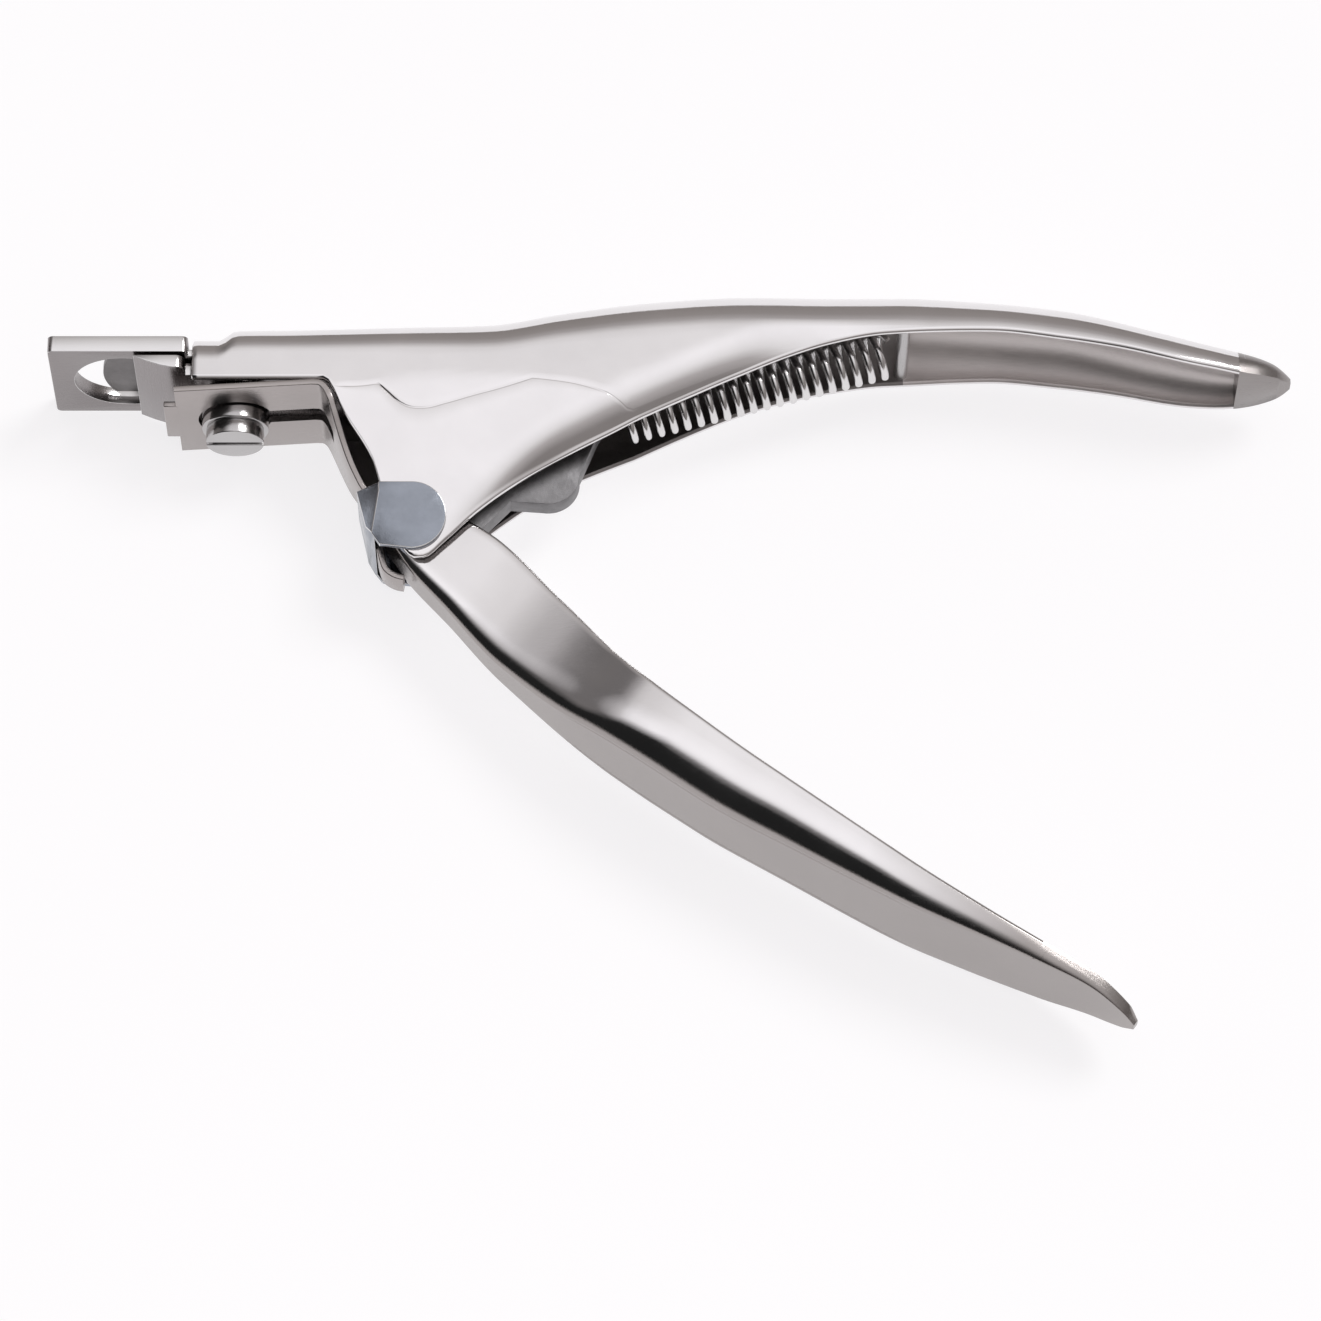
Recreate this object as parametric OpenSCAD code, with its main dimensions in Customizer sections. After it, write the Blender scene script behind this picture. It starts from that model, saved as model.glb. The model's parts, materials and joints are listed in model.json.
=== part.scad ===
// Guillotine nail clipper: a plier-handled cutter that pushes a straight blade across a ring.
// The tool lies on its side. X runs along the fixed handle, head at -X. Y runs from the lever
// towards the fixed handle. Z is the tool's width, and the pivot pin points along it.
// Every module is drawn about a datum at the middle of the width, near the pivot pin, and
// placed() moves it so that the origin is under the middle of the whole tool.

/* [Overall] */
// Full width of the tool
tool_w = 14.2; // [13.4:0.1:15]
// Thickness of the pressed handle sheet
sheet_t = 0.8; // [0.7:0.05:0.9]
// Thickness of the lever's sheet
lever_t = 0.7; // [0.6:0.05:0.8]

/* [Cutting head] */
// Diameter of the ring's hole
ring_hole_d = 10.8; // [9:0.1:11.4]
// Distance from the datum forward to the middle of the ring's hole
ring_x = -30.5; // [-31:0.1:-30]
// Thickness of the ring plate
ring_t = 1.8; // [1.6:0.05:2]
// Thickness of the blade
blade_t = 1.4; // [1.2:0.05:1.45]
// Length of the blade's bevel
bevel_len = 4.1; // [3:0.1:4.6]
// Diameter of the retaining screw's head
screw_head_d = 6.1; // [5.4:0.1:6.6]
// Diameter of the collar under the screw's head
collar_d = 7; // [6.8:0.1:7.2]

/* [Mechanism] */
// Full squeeze of the lever, in degrees
squeeze = 25; // [20:1:26]
// Distance from the pivot pin to the drive pin
drive_radius = 17.5; // [17:0.1:17.8]
// Diameter of the pivot pin
pivot_d = 3; // [2.6:0.1:3.2]
// Diameter of the drive pin
drive_pin_d = 2.4; // [2:0.1:2.5]
// Radial clearance of a running fit
fit = 0.05; // [0.03:0.01:0.08]

/* [Spring] */
// Outer diameter of the return spring
spring_d = 5.6; // [5:0.1:6]
// Diameter of the spring's wire
wire_d = 0.85; // [0.7:0.05:0.95]
// Number of turns
spring_turns = 20; // [16:1:22]

/* [Hidden] */
half_w = tool_w / 2;
steel = "#b9b4b3";
bright = "#dedbdc";
dark_steel = "#7d797b";
pivot = [0, 0.4];

// Middle of the whole tool in the datum's frame, and the height of the datum
middle = [27.1, -13.9];

// Heights of the layers of the head, from the strap up to the barrel's roof
ring_top = 20.3;
ring_low = ring_top - ring_t;
tang_top = ring_low + 0.8;
stop_top = tang_top + 0.8;
blade_top = ring_low - 0.35;
blade_low = blade_top - blade_t;
tang_half = 5.9;
ring_front = -38.3;
ring_back = -23.6;
screw_x = -18.8;
shank_d = 3;
rivet_x = -20.9;
rivet_z = [-3, 3];
rivet_d = 1.6;
stop_nose = -32.9;
stop_nose_r = 8;
stop_half = 4;
travel = 2 * drive_radius * sin(squeeze / 2);

// The drive pin starts half of the squeeze before the point straight above the pivot
drive_pin = pivot + drive_radius * [sin(squeeze / 2), cos(squeeze / 2)];
hook_pin = [18.2, 12.9];
anchor_pin = [51.6, 22.3];
small_pin_d = 1.4;

// Outlines along X: [distance from the datum, value]
barrel_top = 20.95;
rivet_top = barrel_top - 0.35;
crown_line = [
    [-23.1, 20.95], [-20.5, 20.95], [-18.6, 22.1], [-12.7, 22.25], [-1, 22.7], [8, 23.1],
    [15.6, 24.6], [25, 26], [34, 26.65], [51, 26.75], [60, 26.3], [68.4, 25.4], [78.6, 22.8],
    [84.2, 21.3], [88.5, 20.3], [90.6, 19.6], [92.5, 18.5]
];
edge_line = [
    [-23.1, 15.4], [-9.3, 15.4], [-6.9, 11.3], [-3.95, 6.4], [-3.1, 3.6], [-0.6, -3.1],
    [0.4, -3.8], [1.35, -3.75], [3.6, -1.9], [6.8, 1.25], [11.3, 4.8], [15.8, 7.65],
    [21.8, 10.7], [28.6, 14.05], [33.7, 16.4], [38.7, 18.4], [43.8, 19.9], [49.8, 20.9],
    [60.7, 21.3], [68.4, 20.5], [73.6, 19.7], [82.9, 17.8], [88, 17.3], [91, 17.5],
    [92.5, 17.9]
];
width_line = [
    [-23.1, 7.1], [40, 7.1], [50, 6.85], [68.4, 6.3], [78.6, 5.9], [84.2, 5.2], [88.5, 3.9],
    [90.6, 2.8], [92, 1.5], [92.5, 0.7]
];
corner_line = [
    [-23.1, 2], [-1, 2.5], [8, 3], [15.6, 4], [34, 5], [60, 5], [78.6, 4.2], [84.2, 3.4],
    [88.5, 2.2], [92.5, 0.4]
];
// Top of the flat inclined pad of the cheek, and how far the lower edge curls inwards
crease_line = [
    [-23.1, 14.5], [-6.4, 14.5], [1.8, 15.6], [10.2, 15.6], [15.6, 15.1], [20.2, 13.8],
    [23.6, 11.6], [30, 7], [92.5, 0]
];
curl_line = [
    [-23.1, 0], [0, 0], [8, 0.9], [16, 2.2], [28, 2.4], [34, 2.2], [40, 1.4], [48, 0.3],
    [54, 0], [92.5, 0]
];
cheek_slope = 0.155;
curl_height = 4.5;
tip_start = 87.5;
handle_stations = [
    -23.1, -20.5, -19.6, -18.6, -14, -9.3, -8.1, -6.9, -5.4, -3.95, -3.1, -2, -0.6, 0.4, 1.35, 3.6, 6.8,
    9, 11.3, 13.5, 15.8, 18.8, 21.8, 25, 28.6, 33.7, 38.7, 43.8, 49.8, 55, 60.7, 68.4, 73.6, 78.6,
    82.9, 85.5, tip_start
];
tip_stations = [86.8, tip_start, 88.5, 89.6, 90.6, 91.4, 92, 92.5];

// The lever's own frame: u along it, v towards the handle, turned by lever_turn from X
lever_turn = -36;
lever_top_line = [
    [-3.3, 1.9], [-3, 2.4], [-1.8, 3.3], [-0.3, 3.6], [3, 4.2], [7, 4.45], [18, 2.4],
    [29.7, -0.3], [37.5, -0.95], [46, -1.2], [63.6, -1.25], [74, -0.75], [82, 0.1],
    [87.2, 0.7], [90.4, 0.55], [91.9, 0.05]
];
lever_web_line = [
    [-3.3, -0.3], [-3, -0.9], [-1.8, -2], [-0.3, -2.55], [2.4, -3.6], [7.8, -4.85],
    [16.9, -6.95], [27.3, -7.8], [42, -7.65], [54, -6.55], [66, -5.15], [73.4, -3.7],
    [81, -2.1], [87.8, -0.8], [91.9, -0.65]
];
lever_width_line = [
    [-3.3, 2.9], [9, 2.9], [14, 3.15], [20, 3.95], [25, 5], [29, 6.15], [31.5, 6.65],
    [37.5, 7.1], [62, 7.1], [74, 6.4], [81.5, 5.3], [87, 3.8], [90.4, 2.1], [91.9, 0.6]
];
lever_corner_line = [
    [-3.3, 0.3], [-1.8, 1.2], [7.8, 2.2], [27, 4], [42, 4.8], [54, 4.6], [66, 3.4], [74, 2.4],
    [84, 0.9], [91.9, 0.2]
];
lever_stations = [
    -3.3, -3, -2.4, -1.8, -0.3, 1.2, 2.4, 5, 7.8, 11, 14, 18, 22, 26, 29.7, 34, 38, 46, 54,
    60, 66, 70, 74, 78, 81
];
lever_tip_stations = [80.2, 81, 84, 87, 89, 90.4, 91.4, 91.9];

// The strap's inner face, from its front end back, round the bend and down to the hook
strap_t = 0.7;
strap_path = [
    [-24.9, 14.47], [-10.5, 15.35], [-9.6, 15.25], [-8.9, 14.7], [-8.3, 13.6], [-7.8, 12.2],
    [-7.3, 10.7], [-6.7, 9], [-6, 7.3], [-5.1, 5.6], [-4.3, 4.1], [-3.4, 0.4], [-2.95, -1.75],
    [-2.65, -3], [-2.3, -3.85], [-1.5, -4.4], [-0.7, -4.6]
];
strap_half_line = [
    [-6, 1.4], [-4, 1.7], [0, 2.3], [4.6, 2.7], [7.3, 3.8], [9, 4.6], [10.7, 5.6], [12.2, 6.5],
    [13.6, 7.1], [16, 7.1]
];

// ---------- Helpers ----------

// Index of the stretch of a [position, value] line that holds x
function stretch(line, x, i = 0) = i >= len(line) - 2 || x < line[i + 1][0] ? i : stretch(line, x, i + 1);

// Slope of a line at point i, level at a point where the line turns
function slope_at(line, i) =
    let(last = len(line) - 1,
        before = i == 0 ? undef : (line[i][1] - line[i - 1][1]) / (line[i][0] - line[i - 1][0]),
        after = i == last ? undef : (line[i + 1][1] - line[i][1]) / (line[i + 1][0] - line[i][0]))
    i == 0 ? after : i == last ? before : before * after <= 0 ? 0 : 2 * before * after / (before + after);

// Smooth value of a line at x
function along(line, x) =
    let(i = stretch(line, x),
        a = line[i],
        b = line[i + 1],
        h = b[0] - a[0],
        t = min(1, max(0, (x - a[0]) / h)),
        m0 = slope_at(line, i) * h,
        m1 = slope_at(line, i + 1) * h)
    (2 * t ^ 3 - 3 * t ^ 2 + 1) * a[1] + (t ^ 3 - 2 * t ^ 2 + t) * m0
        + (3 * t ^ 2 - 2 * t ^ 3) * b[1] + (t ^ 3 - t ^ 2) * m1;

// Triangles that join rings of n points, ring after ring, with both ends closed strip by strip
function ring_sides(rings, n) = [for (k = [0:rings - 2], i = [0:n - 1])
    let(j = (i + 1) % n, a = k * n + i, b = k * n + j, c = a + n, d = b + n)
    each [[a, c, b], [b, c, d]]];
function ring_cap(first, n, flip) = [for (i = [0:n / 2 - 2])
    let(a = first + i, b = first + i + 1, c = first + n - 1 - i, d = first + n - 2 - i)
    each flip ? [[a, b, c], [b, d, c]] : [[a, c, b], [b, c, d]]];

module loft(rings) {
    n = len(rings[0]);
    polyhedron(
        points = [for (r = rings) each r],
        faces = concat(
            ring_sides(len(rings), n),
            ring_cap(0, n, true),
            ring_cap((len(rings) - 1) * n, n, false)
        ),
        convexity = 8
    );
}

// Extrudes a flat [x, z] outline from height low to height high
module slab(low, high) {
    translate([0, high, 0]) rotate([90, 0, 0]) linear_extrude(high - low) children();
}

// A pin along Z, centred on the width
module cross_pin(at, d, length) {
    translate([at[0], at[1], -length / 2]) cylinder(d = d, h = length, $fn = 48);
}

module rounded_rect(x0, x1, half, r) {
    translate([x0 + r, -half]) square([x1 - x0 - 2 * r, 2 * half]);
    translate([x0, -half + r]) square([x1 - x0, 2 * half - 2 * r]);
    for (x = [x0 + r, x1 - r], z = [-half + r, half - r]) {
        translate([x, z]) circle(r = r, $fn = 32);
    }
}

module placed() {
    translate([-middle[0], -middle[1], half_w]) children();
}

// ---------- Fixed handle ----------

// Outer half-width of the handle's wall at x and height y
function wall_half(x, y) =
    along(width_line, x) * half_w / 7.1
    - cheek_slope * max(0, along(crease_line, x) - y)
    - along(curl_line, x) * max(0, 1 - (y - along(edge_line, x)) / curl_height) ^ 2;

wall_steps = 6;
arc_steps = 6;

// Half of the handle's section, [height, half-width] from the lower edge up to the crown
function handle_half(x, inset) =
    let(crown = along(crown_line, x),
        edge = along(edge_line, x),
        r = along(corner_line, x),
        shoulder = max(edge + 0.3, crown - r),
        rise = crown - shoulder,
        side = wall_half(x, shoulder))
    concat(
        [for (i = [0:wall_steps - 1])
            let(y = edge + (shoulder - edge) * (i / wall_steps) ^ 1.4)
            [y, max(0.1, wall_half(x, y) - inset)]],
        [for (i = [0:arc_steps])
            let(a = 90 * i / arc_steps)
            [shoulder + (rise - inset) * sin(a), max(0, (side - r) + (r - inset) * cos(a))]]
    );

// A whole channel section at x, the outer face one way and the inner face back
function mirrored(half) = concat(half, [for (i = [len(half) - 1:-1:0]) [half[i][0], -half[i][1]]]);
function channel_ring(x, outer, inner) = [
    for (p = mirrored(outer)) [x, p[0], p[1]],
    for (p = [for (q = mirrored(inner)) [q[0], -q[1]]]) [x, p[0], p[1]]
];
function solid_ring(x, outer) = [for (p = mirrored(outer)) [x, p[0], p[1]]];

// The anchor pin's ends sit in blind holes in the two walls
anchor_length = 2 * wall_half(anchor_pin[0], anchor_pin[1]) - 0.6;

module upper_handle() {
    color(bright) placed() {
        difference() {
            union() {
                loft([for (x = handle_stations) channel_ring(x, handle_half(x, 0), handle_half(x, sheet_t))]);
                loft([for (x = tip_stations) solid_ring(x, handle_half(x, 0))]);
            }
            cross_pin(pivot, pivot_d, 2 * tool_w);
            cross_pin(anchor_pin, small_pin_d, anchor_length);
            rivet_holes();
        }
    }
}

module spring_anchor_pin() {
    color(dark_steel) placed() cross_pin(anchor_pin, small_pin_d, anchor_length);
}

module pivot_pin() {
    color(dark_steel) placed() cross_pin(pivot, pivot_d, 8.4);
}

// ---------- Cutting head ----------

module ring_plate() {
    color(steel) placed() difference() {
        union() {
            slab(ring_low, ring_top) rounded_rect(ring_front, ring_back, half_w, 0.6);
            slab(ring_low, tang_top) translate([ring_back - 1, -tang_half]) square([13, 2 * tang_half]);
        }
        slab(ring_low - 1, ring_top + 1) translate([ring_x, 0]) circle(d = ring_hole_d, $fn = 64);
        slab(tang_top, ring_top + 1) translate([ring_x, -stop_half - 0.05]) square([8, 2 * stop_half + 0.1]);
        slab(ring_low - 1, ring_top + 1) translate([screw_x, 0]) circle(d = shank_d, $fn = 32);
        rivet_holes();
    }
}

module rivet_holes() {
    for (z = rivet_z) {
        slab(ring_low - 1, rivet_top) translate([rivet_x, z]) circle(d = rivet_d, $fn = 32);
    }
}

module nail_stop() {
    color(dark_steel) placed() difference() {
        slab(tang_top, stop_top) intersection() {
            translate([stop_nose, -stop_half]) square([20, 2 * stop_half]);
            union() {
                translate([stop_nose + stop_nose_r, 0]) circle(r = stop_nose_r, $fn = 96);
                translate([stop_nose + stop_nose_r, -stop_half]) square([20, 2 * stop_half]);
            }
        }
        slab(ring_low - 1, ring_top + 1) translate([screw_x, 0]) circle(d = shank_d, $fn = 32);
        rivet_holes();
    }
}

module head_rivets() {
    color(dark_steel) placed() for (z = rivet_z) {
        slab(ring_low, rivet_top) translate([rivet_x, z]) circle(d = rivet_d, $fn = 32);
    }
}

blade_front = -29.3;
blade_wide_back = -23.9;
blade_back = -1;
slot_half = shank_d / 2 + 0.25;

module blade() {
    color(steel) placed() difference() {
        intersection() {
            translate([0, 0, -half_w]) linear_extrude(tool_w) polygon([
                [blade_front, blade_top],
                [blade_front, blade_top - 0.1],
                [blade_front + 0.35 * bevel_len, blade_top - 0.5 * blade_t],
                [blade_front + 0.7 * bevel_len, blade_top - 0.84 * blade_t],
                [blade_front + bevel_len, blade_low],
                [blade_back, blade_low],
                [blade_back, blade_top]
            ]);
            slab(blade_low - 1, blade_top + 1) union() {
                rounded_rect(blade_front - 1, blade_wide_back, half_w - 0.1, 1);
                translate([blade_wide_back - 2, -5]) square([blade_back - blade_wide_back + 2, 10]);
            }
        }
        slab(blade_low - 1, blade_top + 1) union() {
            translate([screw_x, 0]) circle(r = slot_half, $fn = 32);
            translate([screw_x + travel, 0]) circle(r = slot_half, $fn = 32);
            translate([screw_x, -slot_half]) square([travel, 2 * slot_half]);
        }
        blade_rivet_bars();
    }
}

module blade_rivet_bars() {
    for (x = [-5.6, -2.6]) {
        slab(slider_low, blade_top) translate([x, 0]) circle(d = 1.6, $fn = 32);
    }
}

module blade_rivets() {
    color(dark_steel) placed() blade_rivet_bars();
}

// Lowest face of the carrier's nose, and the height of its block
slider_low = 15.9;
slider_top = 20;
slider_half = 3.2;
arm_half = 1.2;

module blade_slider() {
    color(dark_steel) placed() difference() {
        union() {
            slab(slider_low, blade_low) rounded_rect(-7, 1, 3.8, 0.6);
            slab(slider_low, slider_top) rounded_rect(blade_back + 0.1, 8.2, slider_half, 0.6);
        }
        translate([1.2, slider_low - 1, -arm_half - 0.2]) {
            cube([8, slider_top - slider_low + 2, 2 * arm_half + 0.4]);
        }
        cross_pin([drive_pin[0], drive_pin[1] + 0.5], drive_pin_d + 2 * fit, tool_w);
        translate([drive_pin[0] - drive_pin_d / 2 - fit, slider_low - 1, -half_w]) {
            cube([drive_pin_d + 2 * fit, drive_pin[1] + 0.5 - slider_low + 1, tool_w]);
        }
        blade_rivet_bars();
    }
}

module retaining_screw() {
    color(steel) placed() difference() {
        union() {
            slab(11.15, 12.75) translate([screw_x, 0]) circle(d = screw_head_d, $fn = 64);
            slab(12.7, stop_top) translate([screw_x, 0]) circle(d = shank_d, $fn = 32);
        }
        translate([screw_x - screw_head_d, 11, -0.3]) cube([2 * screw_head_d, 0.75, 0.6]);
    }
}

module screw_collar() {
    color(steel) placed() slab(12.75, blade_low - 0.15) difference() {
        translate([screw_x, 0]) circle(d = collar_d, $fn = 64);
        translate([screw_x, 0]) circle(d = shank_d, $fn = 32);
    }
}

// ---------- Strap and clip ----------

// Direction of the strap's path at point i, and the point of its outer face there
function path_way(i) =
    let(a = strap_path[max(0, i - 1)], b = strap_path[min(len(strap_path) - 1, i + 1)])
    (b - a) / norm(b - a);
function outer_point(i) = strap_path[i] + strap_t * [path_way(i)[1], -path_way(i)[0]];

// Extrudes a [y, z] outline along X, from x0 to x1
module beam(x0, x1) {
    translate([x0, 0, 0]) rotate([90, 0, 90]) linear_extrude(x1 - x0) children();
}

module strap() {
    last = len(strap_path) - 1;
    color(steel) placed() difference() {
        union() {
            intersection() {
                translate([0, 0, -half_w]) linear_extrude(tool_w) polygon([
                    each strap_path,
                    for (i = [last:-1:0]) outer_point(i)
                ]);
                beam(-25.5, 0) polygon([
                    for (p = strap_half_line) [p[0], p[1] * half_w / 7.1],
                    for (i = [len(strap_half_line) - 1:-1:0])
                        [strap_half_line[i][0], -strap_half_line[i][1] * half_w / 7.1]
                ]);
            }
            translate([-26.2, 14.43 - strap_t, -3.6]) cube([1.6, strap_t, 7.2]);
        }
        slab(11, 17) translate([screw_x, 0]) circle(d = 7.8, $fn = 64);
        slab(11.9, 17) translate([screw_x, -1.35]) square([11.7, 2.7]);
    }
}

ear_t = 0.65;
ear_r = 3.55;
// Half-width of the cheek's outer face at the height of the pivot, with a little room
ear_seat = half_w - cheek_slope * (15.5 - pivot[1]) + 0.1;
clip_high = pivot[1] + ear_r;
clip_low = pivot[1] - ear_r;
clip_t = 0.55;

// The round end of an ear, from its top round the back to its bottom
function ear_arc() = [for (a = [90:-6:-90]) [0.15, pivot[1]] + ear_r * [cos(a), sin(a)]];

// The [y, z] outline between the two sloping sides, with the sides pushed out by extra
module cheek_wedge(extra) {
    polygon([for (p = [[-9, -1], [9, -1], [9, 1], [-9, 1]])
        [p[0], p[1] * (ear_seat + extra + cheek_slope * (p[0] - pivot[1]))]]);
}

// The [x, z] outline of the clip, narrow at the front, with its front pulled back by in
module clip_plan(in) {
    polygon([for (side = [-1, 1], p = side < 0
        ? [[6, 8], [-3.35, 8], [-3.35, 5.9], [-6.15, 3.1]]
        : [[-6.15, 3.1], [-3.35, 5.9], [-3.35, 8], [6, 8]])
        [p[0] + in, side * (p[1] - 0.1 * in)]]);
}

module saddle_clip() {
    color(bright) placed() difference() {
        intersection() {
            translate([0, 0, -half_w]) linear_extrude(tool_w) polygon([
                [-5.75, clip_high],
                each ear_arc(),
                [-3.2, clip_low + 0.4],
                [-4.7, -0.6]
            ]);
            beam(-8, 6) cheek_wedge(ear_t);
            slab(-6, 6) clip_plan(0);
        }
        intersection() {
            translate([0, 0, -half_w]) linear_extrude(tool_w) polygon([
                [-5.25, 4.5], [8, 4.5], [8, -6], [-3, -6], [-3.5, clip_low], [-4.2, 0.4]
            ]);
            beam(-8, 6) cheek_wedge(0);
            slab(-7, 7) clip_plan(clip_t);
        }
    }
}

// ---------- Lever ----------

// Width of the lever's bend against its height
squat = 0.5;

// Half of the lever's section at u, from the free edge down to the web, as [v, half-width]
function lever_half(u, inset) =
    let(top = along(lever_top_line, u),
        web = along(lever_web_line, u),
        side = along(lever_width_line, u) * min(1, half_w / 7.1),
        r = min(along(lever_corner_line, u), (top - web) * 0.8, side * 0.9),
        ro = max(0.05, r - inset),
        low = web + inset + ro)
    concat(
        [for (i = [0:2]) [top + (low - top) * i / 3, side - inset]],
        [for (i = [0:arc_steps])
            let(a = 90 * i / arc_steps)
            [low - ro * sin(a), side - inset - squat * ro * (1 - cos(a))]]
    );

module lever() {
    color(bright) placed() difference() {
        rotate([0, 0, lever_turn]) union() {
            loft([for (u = lever_stations) channel_ring(u, lever_half(u, 0), lever_half(u, lever_t))]);
            loft([for (u = lever_tip_stations) solid_ring(u, lever_half(u, 0))]);
        }
        cross_pin(pivot, pivot_d + 2 * fit, tool_w);
        cross_pin(arm_rivet_at, 1.6, tool_w);
    }
}

arm_rivet_at = [3.4, 1.2];
arm_boss_d = 3.9;
arm_boss_w = 4.3;

module arm_rivet() {
    color(dark_steel) placed() cross_pin(arm_rivet_at, 1.6, 5.8);
}

// The arm inside the lever: up to the drive pin, and back to the spring's hook
module drive_arm() {
    color(steel) placed() difference() {
        union() {
            translate([0, 0, -arm_half]) linear_extrude(2 * arm_half) union() {
                translate(drive_pin) circle(r = 2, $fn = 48);
                translate(pivot) circle(d = arm_boss_d, $fn = 48);
                translate(hook_pin) circle(r = 1.7, $fn = 48);
                translate([14.2, 6.9]) circle(r = 3.3, $fn = 48);
                polygon([
                    pivot + [-arm_boss_d / 2, 0], drive_pin + [-2, 0], drive_pin + [2, 0], hook_pin + [0, 1.7],
                    hook_pin + [1.7, 0], [17.5, 6.9], [14.2, 3.6], [10.3, 3.9], [7.2, 0.6], [6.6, -2.6],
                    [4, -2.4], pivot + [1, -1.6]
                ]);
            }
            cross_pin(pivot, arm_boss_d, arm_boss_w);
            cross_pin(arm_rivet_at, 3, arm_boss_w);
        }
        cross_pin(pivot, pivot_d + 2 * fit, tool_w);
        cross_pin(arm_rivet_at, 1.6, tool_w);
        cross_pin(drive_pin, drive_pin_d, tool_w);
        cross_pin(hook_pin, small_pin_d, tool_w);
    }
}

module pivot_washers() {
    color(steel) placed() for (side = [-1, 1]) {
        translate([pivot[0], pivot[1], side * 3.22 - 0.2]) difference() {
            cylinder(d = 5, h = 0.4, $fn = 48);
            translate([0, 0, -1]) cylinder(d = pivot_d + 2 * fit, h = 3, $fn = 48);
        }
    }
}

module drive_pin_piece() {
    color(dark_steel) placed() cross_pin(drive_pin, drive_pin_d, 2 * slider_half - 0.2);
}

module spring_hook_pin() {
    color(dark_steel) placed() cross_pin(hook_pin, small_pin_d, 4.6);
}

// ---------- Spring ----------

coil_start = 3.9;
coil_end = 1.9;
wire_sides = 6;
turn_steps = 10;
spring_way = (anchor_pin - hook_pin) / norm(anchor_pin - hook_pin);
spring_len = norm(anchor_pin - hook_pin);
coil_len = spring_len - coil_start - coil_end;
coil_r = (spring_d - wire_d) / 2;

// A point of the spring's wire line in its own frame, s along the spring
function coil_point(k) =
    let(turn = k / turn_steps, a = 360 * turn)
    [coil_start + coil_len * turn / spring_turns, coil_r * cos(a), coil_r * sin(a)];
wire_line = concat(
    [[1.95, 0, 0], [2.9, 0.3 * coil_r, 0]],
    [for (k = [0:spring_turns * turn_steps]) coil_point(k)],
    [[spring_len - 1.35, 0.55 * coil_r, 0]]
);
function wire_way(i) =
    let(a = wire_line[max(0, i - 1)], b = wire_line[min(len(wire_line) - 1, i + 1)])
    (b - a) / norm(b - a);
function wire_ring(i) =
    let(w = wire_way(i),
        p = wire_line[i],
        side0 = cross(w, [1, 0, 0.3]),
        side = side0 / norm(side0),
        up = cross(side, w))
    [for (j = [0:wire_sides - 1])
        let(a = 360 * j / wire_sides)
        p + wire_d / 2 * (cos(a) * side + sin(a) * up)];

module return_spring() {
    color(steel) placed() translate([hook_pin[0], hook_pin[1], 0]) {
        rotate([0, 0, atan2(spring_way[1], spring_way[0])]) {
            loft([for (i = [0:len(wire_line) - 1]) wire_ring(i)]);
        }
    }
}

// ---------- Nodes ----------

upper_handle();
ring_plate();
nail_stop();
head_rivets();
strap();
saddle_clip();
pivot_pin();
pivot_washers();
retaining_screw();
screw_collar();
spring_anchor_pin();
blade();
blade_rivets();
blade_slider();
lever();
drive_arm();
arm_rivet();
drive_pin_piece();  // drive_pin
spring_hook_pin();
return_spring();
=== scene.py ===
"""Looks of the guillotine nail clipper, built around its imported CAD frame.

Sizes are in millimetres in the datum's frame: X along the fixed handle, Y from the lever towards it,
Z across the width from the middle plane. at() turns such a point into metres in the row's frame.
"""

import json
import math

import bmesh
import bpy
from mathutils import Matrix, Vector

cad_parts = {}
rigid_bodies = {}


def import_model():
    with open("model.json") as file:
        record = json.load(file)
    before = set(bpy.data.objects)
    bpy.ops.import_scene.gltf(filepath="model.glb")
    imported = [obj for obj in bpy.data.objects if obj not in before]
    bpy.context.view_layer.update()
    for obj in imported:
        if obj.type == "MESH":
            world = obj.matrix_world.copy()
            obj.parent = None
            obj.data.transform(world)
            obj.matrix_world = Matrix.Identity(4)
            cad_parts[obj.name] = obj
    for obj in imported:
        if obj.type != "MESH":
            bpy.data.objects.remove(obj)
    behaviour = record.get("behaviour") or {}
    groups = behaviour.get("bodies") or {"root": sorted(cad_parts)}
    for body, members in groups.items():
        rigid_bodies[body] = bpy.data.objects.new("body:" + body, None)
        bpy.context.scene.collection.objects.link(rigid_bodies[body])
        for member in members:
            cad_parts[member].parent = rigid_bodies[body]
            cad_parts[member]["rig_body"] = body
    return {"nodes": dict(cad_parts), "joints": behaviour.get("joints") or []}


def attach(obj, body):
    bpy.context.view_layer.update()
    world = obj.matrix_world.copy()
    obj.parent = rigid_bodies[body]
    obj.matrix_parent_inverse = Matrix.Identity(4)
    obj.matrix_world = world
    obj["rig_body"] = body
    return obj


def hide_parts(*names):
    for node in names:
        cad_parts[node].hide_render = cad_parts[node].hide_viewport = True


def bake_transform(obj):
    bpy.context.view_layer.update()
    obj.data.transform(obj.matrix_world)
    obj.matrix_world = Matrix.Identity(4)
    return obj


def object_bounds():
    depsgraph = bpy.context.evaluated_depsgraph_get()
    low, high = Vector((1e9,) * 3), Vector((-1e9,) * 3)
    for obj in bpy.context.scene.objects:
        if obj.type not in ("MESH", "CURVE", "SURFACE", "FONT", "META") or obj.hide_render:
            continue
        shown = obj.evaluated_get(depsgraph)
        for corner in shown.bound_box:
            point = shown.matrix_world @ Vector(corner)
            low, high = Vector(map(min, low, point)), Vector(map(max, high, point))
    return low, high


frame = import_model()
CAD_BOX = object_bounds()

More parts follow.
